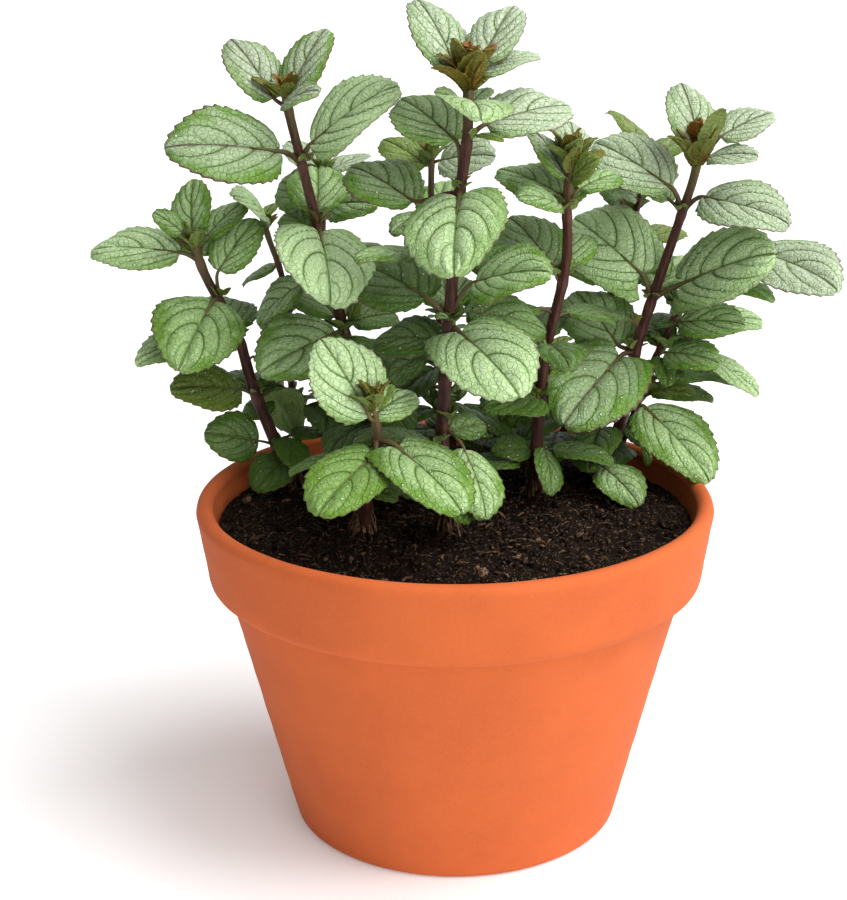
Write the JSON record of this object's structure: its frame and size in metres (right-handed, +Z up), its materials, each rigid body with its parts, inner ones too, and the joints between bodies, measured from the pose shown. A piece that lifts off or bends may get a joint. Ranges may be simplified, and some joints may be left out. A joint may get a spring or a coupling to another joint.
{
  "type": "potted mint plant",
  "caption": "Bushy mint plant with toothed leaves on upright stems, growing in soil in a round clay pot with a thick collar.",
  "frame": {"origin": "middle of the pot's base, on the surface that it stands on", "axes": "+Z up along the pot's axis, -Y towards the front of the plant, +X to its right"},
  "size_m": [0.2336, 0.16, 0.2525],
  "materials": {
    "clay": "matt fired clay",
    "soil": "loose dark potting soil",
    "mint": "soft green leaves on purple-brown stems"
  },
  "bodies": {
    "root": {"pot": "clay", "soil": "soil", "stem_left": "mint", "stem_left_tall": "mint", "stem_centre_tall": "mint", "stem_centre_right": "mint", "stem_right": "mint", "stem_right_thin": "mint", "stem_back_centre": "mint", "stem_back_left": "mint", "stem_far_left": "mint", "stem_back_right": "mint", "stem_front": "mint"}
  },
  "joints": []
}
